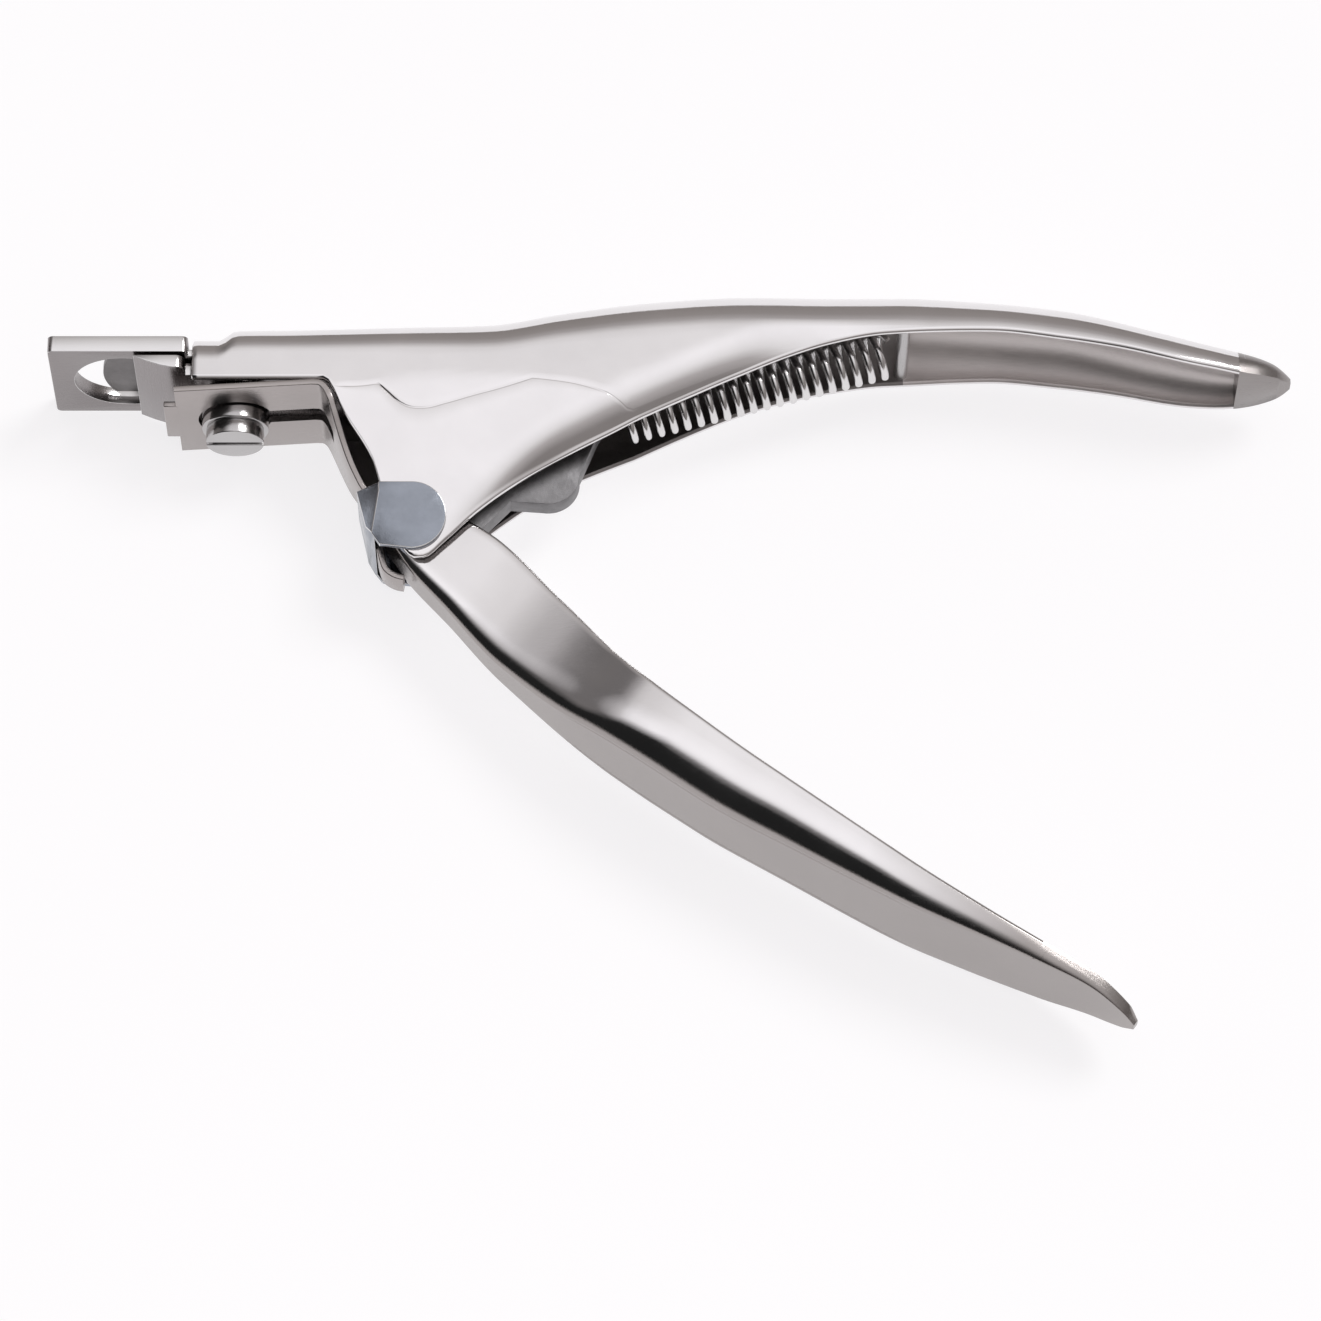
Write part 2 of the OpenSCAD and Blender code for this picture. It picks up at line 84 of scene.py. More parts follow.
MM = 0.001
PIVOT_HEIGHT = 0.4
pivot_joint = next(j for j in frame["joints"] if j["name"] == "lever_pivot")
DATUM = Vector(pivot_joint["pos_m"]) - Vector((0, PIVOT_HEIGHT * MM, 0))
HALF_W = (CAD_BOX[1].z - CAD_BOX[0].z) / 2 / MM
SHEET = 0.8
LEVER_SHEET = 0.7
STRAP_SHEET = 0.7
# Half-width that WIDTH, LEVER_WIDTH and STRAP_HALF are written for; they scale with the CAD box
NOMINAL_HALF_W = 7.1


def at(x, y, z):
    """A point of the datum's frame, in metres in the row's frame."""
    return DATUM + Vector((x, y, z)) * MM


# ---------- Outlines: [distance along, value] ----------

CROWN = [
    [-23.1, 20.95], [-20.5, 20.95], [-18.6, 22.1], [-12.7, 22.25], [-1, 22.7], [8, 23.1],
    [15.6, 24.6], [25, 26], [34, 26.65], [51, 26.75], [60, 26.3], [68.4, 25.4], [78.6, 22.8],
    [84.2, 21.3], [88.5, 20.3], [90.6, 19.6], [92.5, 18.5],
]
EDGE = [
    [-23.1, 15.4], [-9.3, 15.4], [-6.9, 11.3], [-3.95, 6.4], [-3.1, 3.6], [-0.6, -3.1],
    [0.4, -3.8], [1.35, -3.75], [3.6, -1.9], [6.8, 1.25], [11.3, 4.8], [15.8, 7.65],
    [21.8, 10.7], [28.6, 14.05], [33.7, 16.4], [38.7, 18.4], [43.8, 19.9], [49.8, 20.9],
    [60.7, 21.3], [68.4, 20.5], [73.6, 19.7], [82.9, 17.8], [88, 17.3], [91, 17.5],
    [92.5, 17.9],
]
WIDTH = [
    [-23.1, 7.1], [40, 7.1], [50, 6.85], [68.4, 6.3], [78.6, 5.9], [84.2, 5.2], [88.5, 3.9],
    [90.6, 2.8], [92, 1.5], [92.5, 0.7],
]
CORNER = [
    [-23.1, 3.2], [-1, 3.8], [8, 4.2], [15.6, 4.6], [34, 5], [60, 5], [78.6, 4.2], [84.2, 3.4],
    [88.5, 2.2], [92.5, 0.4],
]
CREASE = [
    [-23.1, 14.5], [-6.4, 14.5], [1.8, 15.6], [10.2, 15.6], [15.6, 15.1], [20.2, 13.8],
    [23.6, 11.6], [30, 7], [92.5, 0],
]
CURL = [
    [-23.1, 0], [0, 0], [8, 0.9], [16, 2.2], [28, 2.4], [34, 2.2], [40, 1.4], [48, 0.3],
    [54, 0], [92.5, 0],
]
# How far a cheek leans inwards for each millimetre below the crease
CHEEK_SLOPE = 0.155
# Height over the lower edge in which a cheek curls inwards
CURL_HEIGHT = 4.5
# Where the handle's shell gives way to its solid tip
TIP_START = 87.5

HOOK_PIN = (18.2, 12.9)
ANCHOR_PIN = (51.6, 22.3)

LEVER_TURN = math.radians(-36)
LEVER_TOP = [
    [-3.3, 1.9], [-3, 2.4], [-1.8, 3.3], [-0.3, 3.6], [3, 4.2], [7, 4.45], [18, 2.4],
    [29.7, -0.3], [37.5, -0.95], [46, -1.2], [63.6, -1.25], [74, -0.75], [82, 0.1],
    [87.2, 0.7], [90.4, 0.55], [91.9, 0.05],
]
LEVER_WEB = [
    [-3.3, -0.3], [-3, -0.9], [-1.8, -2], [-0.3, -2.55], [2.4, -3.6], [7.8, -4.85],
    [16.9, -6.95], [27.3, -7.8], [42, -7.65], [54, -6.55], [66, -5.15], [73.4, -3.7],
    [81, -2.1], [87.8, -0.8], [91.9, -0.65],
]
LEVER_WIDTH = [
    [-3.3, 2.9], [9, 2.9], [14, 3.15], [20, 3.95], [25, 5], [29, 6.15], [31.5, 6.65],
    [37.5, 7.1], [62, 7.1], [74, 6.4], [81.5, 5.3], [87, 3.8], [90.4, 2.1], [91.9, 0.6],
]
LEVER_CORNER = [
    [-3.3, 0.3], [-1.8, 1.2], [7.8, 2.2], [27, 4], [42, 4.8], [54, 4.6], [66, 3.4], [74, 2.4],
    [84, 0.9], [91.9, 0.2],
]
LEVER_TIP = 81
# Width of the rounding beside the web, as a share of its height
SQUAT = 0.5

STRAP_PATH = [
    [-24.9, 14.47], [-10.5, 15.35], [-9.6, 15.25], [-8.9, 14.7], [-8.3, 13.6], [-7.8, 12.2],
    [-7.3, 10.7], [-6.7, 9], [-6, 7.3], [-5.1, 5.6], [-4.3, 4.1], [-3.4, 0.4], [-2.95, -1.75],
    [-2.65, -3], [-2.3, -3.85], [-1.5, -4.4], [-0.7, -4.6],
]
STRAP_HALF = [
    [-6, 1.4], [-4, 1.7], [0, 2.3], [4.6, 2.7], [7.3, 3.8], [9, 4.6], [10.7, 5.6], [12.2, 6.5],
    [13.6, 7.1], [16, 7.1],
]


def slope_at(line, i):
    """Slope of a line at point i, level where the line turns."""
    last = len(line) - 1
    before = after = None
    if i > 0:
        before = (line[i][1] - line[i - 1][1]) / (line[i][0] - line[i - 1][0])
    if i < last:
        after = (line[i + 1][1] - line[i][1]) / (line[i + 1][0] - line[i][0])
    if before is None:
        return after
    if after is None:
        return before
    return 0 if before * after <= 0 else 2 * before * after / (before + after)


def along(line, x):
    """Smooth value of a line at x."""
    i = 0
    while i < len(line) - 2 and x >= line[i + 1][0]:
        i += 1
    a, b = line[i], line[i + 1]
    h = b[0] - a[0]
    t = min(1, max(0, (x - a[0]) / h))
    m0 = slope_at(line, i) * h
    m1 = slope_at(line, i + 1) * h
    return (
        (2 * t**3 - 3 * t**2 + 1) * a[1]
        + (t**3 - 2 * t**2 + t) * m0
        + (3 * t**2 - 2 * t**3) * b[1]
        + (t**3 - t**2) * m1
    )


def smooth_step(low, high, x):
    t = min(1, max(0, (x - low) / (high - low)))
    return t * t * (3 - 2 * t)


def fine_stations(line, low, high, step):
    """Every point of the line from low to high, and even steps of at most step between them."""
    marks = sorted({low, high, *[p[0] for p in line if low < p[0] < high]})
    stations = [marks[0]]
    for a, b in zip(marks, marks[1:]):
        n = max(1, math.ceil((b - a) / step))
        stations += [a + (b - a) * i / n for i in range(1, n + 1)]
    return stations


# ---------- Meshes ----------

# A face with at least this much of Z in its normal is on one of the tool's two sides
SIDE_NORMAL = 0.9


def smoothed(mesh, angle=35):
    """Shades a mesh smoothly, with sharp edges where its faces meet at more than the angle."""
    mesh.shade_smooth()
    mesh.set_sharp_from_angle(angle=math.radians(angle))


def new_object(name, mesh, body, smooth_angle=35):
    """Links a mesh as a piece, smooth up to an angle, which rides on a body if one is given."""
    smoothed(mesh, smooth_angle)
    piece = bpy.data.objects.new(name, mesh)
    bpy.context.scene.collection.objects.link(piece)
    if body:
        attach(piece, body)
    return piece


def side_faces(count, n):
    """The faces between count closed rings of n points each."""
    faces = []
    for k in range(count - 1):
        for i in range(n):
            j = (i + 1) % n
            faces.append((k * n + i, k * n + j, (k + 1) * n + j, (k + 1) * n + i))
    return faces


def loft(name, rings):
    """A capped mesh from closed rings with the same even number of points, which are in metres."""
    n = len(rings[0])
    faces = side_faces(len(rings), n)
    last = (len(rings) - 1) * n
    for i in range(n // 2 - 1):
        a, b, c, d = i, i + 1, n - 2 - i, n - 1 - i
        faces.append((a, d, c, b))
        faces.append((last + a, last + b, last + c, last + d))
    mesh = bpy.data.meshes.new(name)
    mesh.from_pydata([tuple(p) for ring in rings for p in ring], [], faces)
    tidy(mesh)
    return mesh


def tidy(mesh, dissolve=None):
    """Welds doubles and makes the normals point outwards."""
    bm = bmesh.new()
    bm.from_mesh(mesh)
    bmesh.ops.remove_doubles(bm, verts=bm.verts, dist=1e-7)
    if dissolve:
        bmesh.ops.dissolve_limit(
            bm, angle_limit=math.radians(dissolve), verts=bm.verts, edges=bm.edges
        )
    bmesh.ops.recalc_face_normals(bm, faces=bm.faces)
    bm.to_mesh(mesh)
    bm.free()


def applied(piece):
    """Replaces a piece's mesh by what its modifiers make of it."""
    depsgraph = bpy.context.evaluated_depsgraph_get()
    mesh = bpy.data.meshes.new_from_object(piece.evaluated_get(depsgraph))
    piece.modifiers.clear()
    piece.data = mesh


def bevelled(piece, width, rim_material=-1):
    """Rounds a piece's edges by a width in millimetres; rim_material is the slot of the new faces."""
    bevel = piece.modifiers.new("edges", "BEVEL")
    bevel.material = rim_material
    bevel.width = width * MM
    bevel.segments = 3
    bevel.limit_method = "ANGLE"
    bevel.angle_limit = math.radians(30)
    bevel.harden_normals = False
    bevel.use_clamp_overlap = True
    applied(piece)
    smoothed(piece.data)


def rounded_copy(node, name, width, materials, painted_light_sides=False):
    """A copy of a CAD node's mesh with rounded edges, which stands for the node."""
    source = frame["nodes"][node]
    mesh = source.data.copy()
    mesh.name = name
    mesh.materials.clear()
    tidy(mesh, dissolve=0.3)
    piece = new_object(name, mesh, None)
    dress(piece, *materials)
    rim = len(materials) - 1
    bevelled(piece, width, rim)
    # Painted light: faces across the tool get the bright rim steel, while the piece's other faces keep
    # its darker steel
    for face in piece.data.polygons:
        if painted_light_sides and abs(face.normal.z) > SIDE_NORMAL:
            face.material_index = rim
    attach(piece, source["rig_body"])
    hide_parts(node)


# ---------- Procedural steels ----------


def colour_ramp(tree, value, stops):
    """A ramp node over (position, colour) stops."""
    node = tree.nodes.new("ShaderNodeValToRGB")
    elements = node.color_ramp.elements
    while len(elements) < len(stops):
        elements.new(0.5)
    for element, (position, colour) in zip(elements, stops):
        element.position = position
        element.color = (*colour, 1)
    tree.links.new(value, node.inputs["Fac"])
    return node.outputs["Color"]


class Nodes:
    """A material's node tree with short calls for the nodes the steels use."""

    def __init__(self, name):
        self.material = bpy.data.materials.new(name)
        self.material.use_nodes = True
        self.tree = self.material.node_tree
        self.tree.nodes.clear()
        self.coords = self.tree.nodes.new("ShaderNodeTexCoord").outputs["Object"]

    def link(self, a, b):
        self.tree.links.new(a, b)

    def stretched(self, scale):
        node = self.tree.nodes.new("ShaderNodeMapping")
        node.inputs["Scale"].default_value = scale
        self.link(self.coords, node.inputs["Vector"])
        return node.outputs["Vector"]

    def noise(self, scale, stretch=(1, 1, 1), detail=4, roughness=0.6):
        node = self.tree.nodes.new("ShaderNodeTexNoise")
        node.inputs["Scale"].default_value = scale
        node.inputs["Detail"].default_value = detail
        node.inputs["Roughness"].default_value = roughness
        self.link(self.stretched(stretch), node.inputs["Vector"])
        return node.outputs["Fac"]

    def ramp(self, value, stops):
        return colour_ramp(self.tree, value, stops)

    def span(self, value, low, high, from_low=0.3, from_high=0.7):
        node = self.tree.nodes.new("ShaderNodeMapRange")
        node.inputs["From Min"].default_value = from_low
        node.inputs["From Max"].default_value = from_high
        node.inputs["To Min"].default_value = low
        node.inputs["To Max"].default_value = high
        self.link(value, node.inputs["Value"])
        return node.outputs["Result"]

    def math(self, operation, a, b):
        node = self.tree.nodes.new("ShaderNodeMath")
        node.operation = operation
        for value, socket in zip((a, b), node.inputs):
            if isinstance(value, (int, float)):
                socket.default_value = value
            else:
                self.link(value, socket)
        return node.outputs["Value"]

    def axis(self, name):
        node = self.tree.nodes.new("ShaderNodeSeparateXYZ")
        self.link(self.coords, node.inputs["Vector"])
        return node.outputs[name]

    def blend(self, factor, a, colour):
        node = self.tree.nodes.new("ShaderNodeMix")
        node.data_type = "RGBA"
        self.link(factor, node.inputs["Factor"])
        self.link(a, node.inputs["A"])
        node.inputs["B"].default_value = (*colour, 1)
        return node.outputs["Result"]

    def bump(self, height, strength, distance):
        node = self.tree.nodes.new("ShaderNodeBump")
        node.inputs["Strength"].default_value = strength
        node.inputs["Distance"].default_value = distance
        self.link(height, node.inputs["Height"])
        return node.outputs["Normal"]

    def finish(self, colour, roughness, normal):
        """The metal shader, linked to the material's output."""
        shader = self.tree.nodes.new("ShaderNodeBsdfPrincipled")
        shader.inputs["Metallic"].default_value = 1
        self.link(colour, shader.inputs["Base Color"])
        self.link(roughness, shader.inputs["Roughness"])
        self.link(normal, shader.inputs["Normal"])
        output = self.tree.nodes.new("ShaderNodeOutputMaterial")
        self.link(shader.outputs["BSDF"], output.inputs["Surface"])
        return self.material


def tone(colour, factor):
    return tuple(min(1, c * factor) for c in colour)


def polished(name, colour, rough=(0.06, 0.14), fade=None):
    """Mirror-polished steel with faint scratches.

    fade is the stretch of X, in metres, over which it turns into a rougher steel of the colour given
    last, which is painted shade.
    """
    n = Nodes(name)
    cloud = n.noise(90, detail=5)
    scratches = n.noise(700, stretch=(1, 8, 8), detail=3)
    base = n.ramp(cloud, [(0.3, tone(colour, 0.95)), (0.7, tone(colour, 1.03))])
    roughness = n.math("ADD", n.span(cloud, *rough), n.span(scratches, 0, 0.05, 0.55, 0.75))
    if fade is not None:
        start, end, shade_colour = fade
        share = n.span(n.axis("X"), 0, 1, start, end)
        base = n.blend(share, base, shade_colour)
        roughness = n.math("ADD", roughness, n.math("MULTIPLY", share, 0.14))
    normal = n.bump(scratches, 0.05, 0.00004)
    return n.finish(base, roughness, normal)


def satin(name, colour, rough=(0.26, 0.36), grain=(1, 30, 30), depth=0.12, contrast=0.06):
    """Ground steel: fine lines along one direction, given by the small number in grain."""
    n = Nodes(name)
    lines = n.noise(420, stretch=grain, detail=3, roughness=0.7)
    cloud = n.noise(120, detail=5)
    mix = n.math("ADD", n.math("MULTIPLY", lines, 0.6), n.math("MULTIPLY", cloud, 0.4))
    base = n.ramp(mix, [(0.36, tone(colour, 1 - contrast)), (0.64, tone(colour, 1 + contrast))])
    normal = n.bump(lines, depth, 0.00008)
    return n.finish(base, n.span(mix, *rough), normal)


def dull(name, colour, rough=(0.4, 0.6), scale=900, depth=0.3):
    """Rough cast or tumbled steel: a fine pitted grain."""
    n = Nodes(name)
    pits = n.noise(scale, detail=6, roughness=0.7)
    cloud = n.noise(160, detail=4)
    base = n.ramp(cloud, [(0.3, tone(colour, 0.82)), (0.7, tone(colour, 1.16))])
    normal = n.bump(pits, depth, 0.00012)
    return n.finish(base, n.span(pits, *rough), normal)


def dress(piece, *materials):
    """Fills the piece's slots in place, because clearing them would lose the faces' slot numbers."""
    slots = piece.data.materials
    while len(slots) < len(materials):
        slots.append(None)
    for i, material in enumerate(materials):
        slots[i] = material


# Painted shade: the lever's web and tip are darker than its polished walls, for the dim surroundings
# that they reflect
WEB_SHADE_COLOUR = (0.36, 0.335, 0.325)
MIRROR = polished("mirror_steel", (0.8, 0.785, 0.79))
# Painted shade: the channels' insides get a darker steel than their polished outsides, for the shade
# in the recesses
INSIDE_SHADE = satin("inside_shade_steel", (0.3, 0.28, 0.275), rough=(0.5, 0.6), grain=(1, 12, 12))
# Painted shade: along X the lever's polished steel darkens into the web's painted-shade colour
LEVER_OUT = polished(
    "lever_steel", (0.84, 0.825, 0.83), rough=(0.07, 0.15), fade=(0.02, 0.036, WEB_SHADE_COLOUR)
)
LEVER_WEB_SHADE_STEEL = satin("lever_web_shade_steel", WEB_SHADE_COLOUR, rough=(0.2, 0.28))
# Painted shade: the handle's solid tip gets a darker steel than the polished shell, for a dimmer
# reflection on its near side
TIP_SHADE_STEEL = satin("tip_shade_steel", (0.3, 0.28, 0.275), rough=(0.25, 0.33))
# Painted shade: the strap's steel is darker, for the shadowed floor that it reflects
STRAP_SHADE_STEEL = satin("strap_shade_steel", (0.4, 0.37, 0.36), rough=(0.2, 0.28))
PLATE_STEEL = satin("plate_steel", (0.29, 0.27, 0.27), rough=(0.24, 0.32), grain=(1, 26, 26))
BLADE_STEEL = satin("blade_steel", (0.31, 0.29, 0.29), rough=(0.2, 0.3), grain=(26, 26, 1))
# Painted light: a paler, lit copy of the inside steel, for the handle's inside behind the spring's
# rear pin
LIT_INSIDE = satin("lit_inside_steel", (0.66, 0.62, 0.61), rough=(0.4, 0.5), grain=(1, 12, 12))
STOP_STEEL = dull("stop_steel", (0.2, 0.19, 0.19), rough=(0.35, 0.5), scale=1400, depth=0.2)
CLIP_STEEL = dull("clip_steel", (0.3, 0.325, 0.37), rough=(0.14, 0.3), scale=500, depth=0.25)
# Painted highlight: a bright copy of the steel for the rounded rims of the plate, clip and blade, and
# for the plate's and blade's sides that face across the tool
EDGE_HIGHLIGHT_STEEL = polished("edge_highlight_steel", (0.75, 0.74, 0.74), rough=(0.1, 0.18))
SCREW_STEEL = polished("screw_steel", (0.5, 0.49, 0.49), rough=(0.14, 0.22))
SPRING_STEEL = polished("spring_steel", (0.74, 0.73, 0.73), rough=(0.16, 0.24))
ARM_STEEL = dull("arm_steel", (0.23, 0.225, 0.23), rough=(0.4, 0.58), scale=800, depth=0.45)
PIN_STEEL = satin("pin_steel", (0.5, 0.49, 0.49), rough=(0.25, 0.35), grain=(20, 20, 1))
SLIDER_STEEL = satin("slider_steel", (0.45, 0.44, 0.45), rough=(0.3, 0.42), grain=(1, 20, 20))

# ---------- Fixed handle ----------


def wall_half(x, y):
    """Outer half-width of the handle's wall at x and height y."""
    return (
        along(WIDTH, x) * HALF_W / NOMINAL_HALF_W
        - CHEEK_SLOPE * max(0, along(CREASE, x) - y)
        - along(CURL, x) * max(0, 1 - (y - along(EDGE, x)) / CURL_HEIGHT) ** 2
    )


PAD_STEPS = 12
FLANK_STEPS = 8
CREASE_ROWS = (-1, -0.5, 0, 0.5, 1)
CREASE_HALF = 0.16
CREASE_DEPTH = 0.05
WALL_STEPS = PAD_STEPS + len(CREASE_ROWS) + FLANK_STEPS - 1
ARC_STEPS = 10
RIM_STEPS = 6
# How far the shell's front edge is rounded, and the step in between
FRONT_ROUND = 0.2
FRONT_STEP = 0.07


def handle_face(x, inset):
    """Half of the handle's face, (height, half-width) from just over the rim up to the crown."""
    crown = along(CROWN, x)
    low = along(EDGE, x) + SHEET / 2
    r = along(CORNER, x)
    shoulder = max(low + 0.1, crown - r)
    rise = crown - shoulder
    side = wall_half(x, shoulder)
    height = shoulder - low
    crease = along(CREASE, x)
    shown = smooth_step(low + 0.2, low + 0.8, crease) * smooth_step(-18, -8, x)
    crease = min(max(crease, low + 0.06 * height), shoulder - 0.3 * height)
    half = min(CREASE_HALF, 0.02 * height)
    face = []
    for i in range(PAD_STEPS):
        y = low + (crease - half - low) * (i / PAD_STEPS) ** 1.4
        face.append((y, max(0.05, wall_half(x, y) - inset)))
    for row in CREASE_ROWS:
        y = crease + half * row
        dip = CREASE_DEPTH * shown * (1 - abs(row))
        face.append((y, wall_half(x, y) - inset - dip))
    for i in range(1, FLANK_STEPS):
        y = crease + half + (shoulder - crease - half) * i / FLANK_STEPS
        face.append((y, wall_half(x, y) - inset))
    for i in range(ARC_STEPS + 1):
        a = math.radians(90 * i / ARC_STEPS)
        z = side - r + (r - inset) * math.cos(a)
        face.append((shoulder + (rise - inset) * math.sin(a), max(0, z)))
    return face


def rim(a, b, way):
    """A half circle from a to b, both (height, half-width), which bulges by way times its radius."""
    r = math.dist(a, b) / 2
    middle = ((a[0] + b[0]) / 2, (a[1] + b[1]) / 2)
    across = ((a[0] - b[0]) / 2, (a[1] - b[1]) / 2)
    points = []
    for i in range(1, RIM_STEPS):
        t = math.pi * i / RIM_STEPS
        points.append((
            middle[0] + across[0] * math.cos(t) + way * r * math.sin(t),
            middle[1] + across[1] * math.cos(t),
        ))
    return points


def channel(outer, inner, way):
    """A closed channel section: out along one side, round the rim and back along the inside."""
    left = list(outer)
    right = [(y, -z) for y, z in reversed(outer)]
    back = [(y, -z) for y, z in inner]
    front = list(reversed(inner))
    right_rim = rim(right[-1], back[0], way)
    left_rim = rim(front[-1], left[0], way)
    return left + right + right_rim + back + front + left_rim


def handle_ring(x, front_inset=0.0):
    section = channel(handle_face(x, front_inset), handle_face(x, SHEET - front_inset), -1)
    return [at(x, y, z) for y, z in section]


def mark_faces(mesh, ring_length, outer_length, rings, third):
    """Gives the inside the second material, and what third() picks by ring and place the third."""
    for k in range(rings - 1):
        for i in range(ring_length):
            inside = outer_length + RIM_STEPS // 2 <= i < ring_length - RIM_STEPS // 2
            kind = 2 if third(k, i, inside) else int(inside)
            mesh.polygons[k * ring_length + i].material_index = kind


def channel_mesh(name, rings, outer_length, third):
    """A mesh from a channel's rings, with the faces' materials marked before the points are welded."""
    n = len(rings[0])
    faces = side_faces(len(rings), n)
    for first in (0, (len(rings) - 1) * n):
        for i in range(outer_length - 1):
            # The inside runs back along the outside, past the rim's points
            opposite = first + n - RIM_STEPS - i
            faces.append((first + i, opposite, opposite - 1, first + i + 1))
    mesh = bpy.data.meshes.new(name)
    mesh.from_pydata([tuple(p) for ring in rings for p in ring], [], faces)
    for material in (MIRROR, INSIDE_SHADE, LEVER_WEB_SHADE_STEEL):
        mesh.materials.append(material)
    mark_faces(mesh, n, outer_length, len(rings), third)
    tidy(mesh)
    return mesh


def make_handle():
    """The handle's shell, whose inside behind the spring's rear pin has a paler steel that is painted
    light, and its solid tip.
    """
    front = CROWN[0][0]
    rounded_to = front + FRONT_ROUND
    stations = [x for x in fine_stations(EDGE, front, TIP_START, 0.7) if x > rounded_to]
    rings = [
        handle_ring(front, FRONT_ROUND),
        handle_ring(front + FRONT_STEP, FRONT_STEP),
        handle_ring(rounded_to),
    ]
    lit_inside_from = len(rings) + sum(x < ANCHOR_PIN[0] for x in stations)
    rings += [handle_ring(x) for x in stations]
    outer_length = 2 * (WALL_STEPS + ARC_STEPS + 1)
    mesh = channel_mesh(
        "handle_shell", rings, outer_length,
        lambda k, i, inside: inside and k >= lit_inside_from,
    )
    shell = new_object("handle_shell", mesh, "root", 40)
    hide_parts("upper_handle")
    dress(shell, MIRROR, INSIDE_SHADE, LIT_INSIDE)

    tip_rings = []
    for x in fine_stations([], TIP_START - 0.7, CROWN[-1][0], 0.2):
        face = handle_face(x, 0)
        low = along(EDGE, x)
        bottom = [(low, face[0][1] * 0.93), (low + 0.12, face[0][1])]
        half = bottom + face[1:]
        section = half + [(y, -z) for y, z in reversed(half)]
        tip_rings.append([at(x, y, z) for y, z in section])
    tip = new_object("handle_tip", loft("handle_tip", tip_rings), "root", 40)
    dress(tip, TIP_SHADE_STEEL)


# ---------- Lever ----------

LEVER_WALL_STEPS = 10
WEB_STEPS = 8
WEB_FACES = LEVER_WALL_STEPS + 7
GROOVE_DEPTH = 0.12
GROOVE_AT = 0.07


def lever_at(u, v, z):
    """A point of the lever's frame, in metres in the row's frame."""
    c, s = math.cos(LEVER_TURN), math.sin(LEVER_TURN)
    return at(u * c - v * s, u * s + v * c, z)


def lever_face(u, inset):
    """Half of the lever's section, (v, half-width) from just under the rim to the web's middle."""
    top = along(LEVER_TOP, u)
    web = along(LEVER_WEB, u)
    side = along(LEVER_WIDTH, u) * min(1, HALF_W / NOMINAL_HALF_W)
    r = min(along(LEVER_CORNER, u), (top - web) * 0.8, side * 0.9)
    ro = max(0.05, r - inset)
    low = web + inset + ro
    start = top - LEVER_SHEET / 2
    flat = side - inset - SQUAT * ro
    face = []
    for i in range(LEVER_WALL_STEPS):
        face.append((start + (low - start) * i / LEVER_WALL_STEPS, side - inset))
    for i in range(ARC_STEPS + 1):
        a = math.radians(90 * i / ARC_STEPS)
        face.append((low - ro * math.sin(a), flat + SQUAT * ro * math.cos(a)))
    presence = smooth_step(24, 32, u) * (1 - smooth_step(60, 70, u))
    for i in range(1, WEB_STEPS + 1):
        if i < 4:
            t = GROOVE_AT * i / 2
        else:
            t = 2 * GROOVE_AT + (1 - 2 * GROOVE_AT) * (i - 4) / (WEB_STEPS - 4)
        dip = GROOVE_DEPTH * presence if i == 2 else 0
        face.append((web + inset + dip, flat * (1 - t)))
    return face


def lever_ring(u):
    section = channel(lever_face(u, 0), lever_face(u, LEVER_SHEET), 1)
    return [lever_at(u, v, z) for v, z in section]


def make_lever():
    """The lever's shell, whose web has a darker steel that is painted shade, and its solid tip, which
    has the same steel.
    """
    stations = fine_stations(LEVER_TOP + LEVER_WEB, LEVER_WEB[0][0], LEVER_TIP, 0.9)
    rings = [lever_ring(u) for u in stations]
    outer_length = 2 * (LEVER_WALL_STEPS + ARC_STEPS + 1 + WEB_STEPS)
    mesh = channel_mesh(
        "lever_shell", rings, outer_length,
        lambda k, i, inside: WEB_FACES <= i < outer_length - 1 - WEB_FACES,
    )
    shell = new_object("lever_shell", mesh, "lever_body", 40)
    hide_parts("lever")
    dress(shell, LEVER_OUT, INSIDE_SHADE, LEVER_WEB_SHADE_STEEL)

    tip_rings = []
    for u in fine_stations(LEVER_WIDTH, LEVER_TIP - 0.8, LEVER_TOP[-1][0], 0.3):
        face = lever_face(u, 0)
        top = along(LEVER_TOP, u)
        half = [(top, face[0][1] * 0.9), (top - 0.1, face[0][1] - 0.02), *face[1:]]
        section = half + [(v, -z) for v, z in reversed(half)]
        tip_rings.append([lever_at(u, v, z) for v, z in section])
    tip = new_object("lever_tip", loft("lever_tip", tip_rings), "lever_body", 40)
    dress(tip, LEVER_WEB_SHADE_STEEL)


# ---------- Strap ----------

STRAP_CORNER = 0.13
PATH_STEPS = 6
STRAIGHT_STEPS = 12
SCREW_X = -18.8
OPENING_D = 7.8
SLIT_W = 2.7
SLIT_END = -7.1
# The opening is cut between these heights
CUT_HEIGHTS = (11.9, 17)
# The flat tab at the strap's front end: its middle along X, upper face, length and width
TAB_X = -25.4
TAB_TOP = 14.43
TAB_LENGTH = 1.58
TAB_W = 7.2


def smooth_path(points, steps):
    """A Catmull-Rom curve through the points."""
    out = []
    for i in range(len(points) - 1):
        p = [Vector(points[max(0, min(len(points) - 1, i + k))]) for k in (-1, 0, 1, 2)]
        if i == 0:
            p[0] = p[1] - (p[2] - p[1]).normalized() * 0.9
        for s in range(steps):
            t = s / steps
            out.append(0.5 * (
                2 * p[1]
                + (p[2] - p[0]) * t
                + (2 * p[0] - 5 * p[1] + 4 * p[2] - p[3]) * t**2
                + (3 * p[1] - p[0] - 3 * p[2] + p[3]) * t**3
            ))
    out.append(Vector(points[-1]))
    return out


